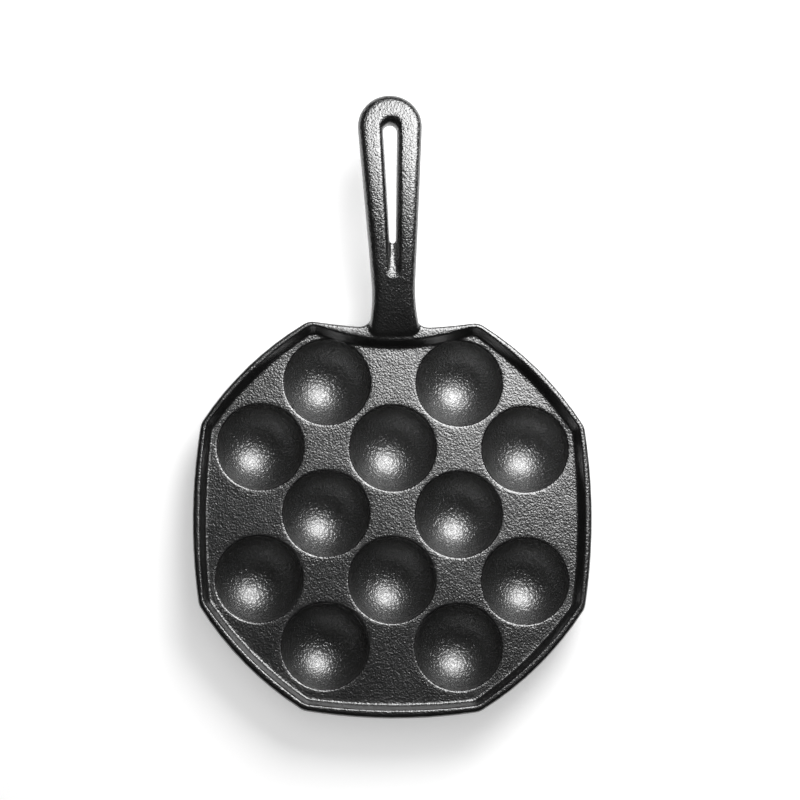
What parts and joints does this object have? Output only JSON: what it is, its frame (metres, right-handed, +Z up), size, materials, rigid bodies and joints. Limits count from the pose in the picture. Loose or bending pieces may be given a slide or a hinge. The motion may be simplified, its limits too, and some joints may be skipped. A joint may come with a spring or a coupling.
{
  "type": "takoyaki pan",
  "caption": "Cast iron pan with round wells for batter balls in a rimmed octagonal tray, cups underneath to stand on and a long slotted handle.",
  "frame": {"origin": "on the surface the pan stands on, under the middle of its overall length and width", "axes": "+Z up, out of the wells; +Y along the handle from the tray to its tip; +X to the right of the handle seen from the tray"},
  "size_m": [0.1996, 0.3119, 0.0484],
  "materials": {
    "cast_iron": "seasoned black sand casting, satin, smoother in the wells"
  },
  "bodies": {
    "root": {"pan_casting": "cast_iron"}
  },
  "joints": []
}
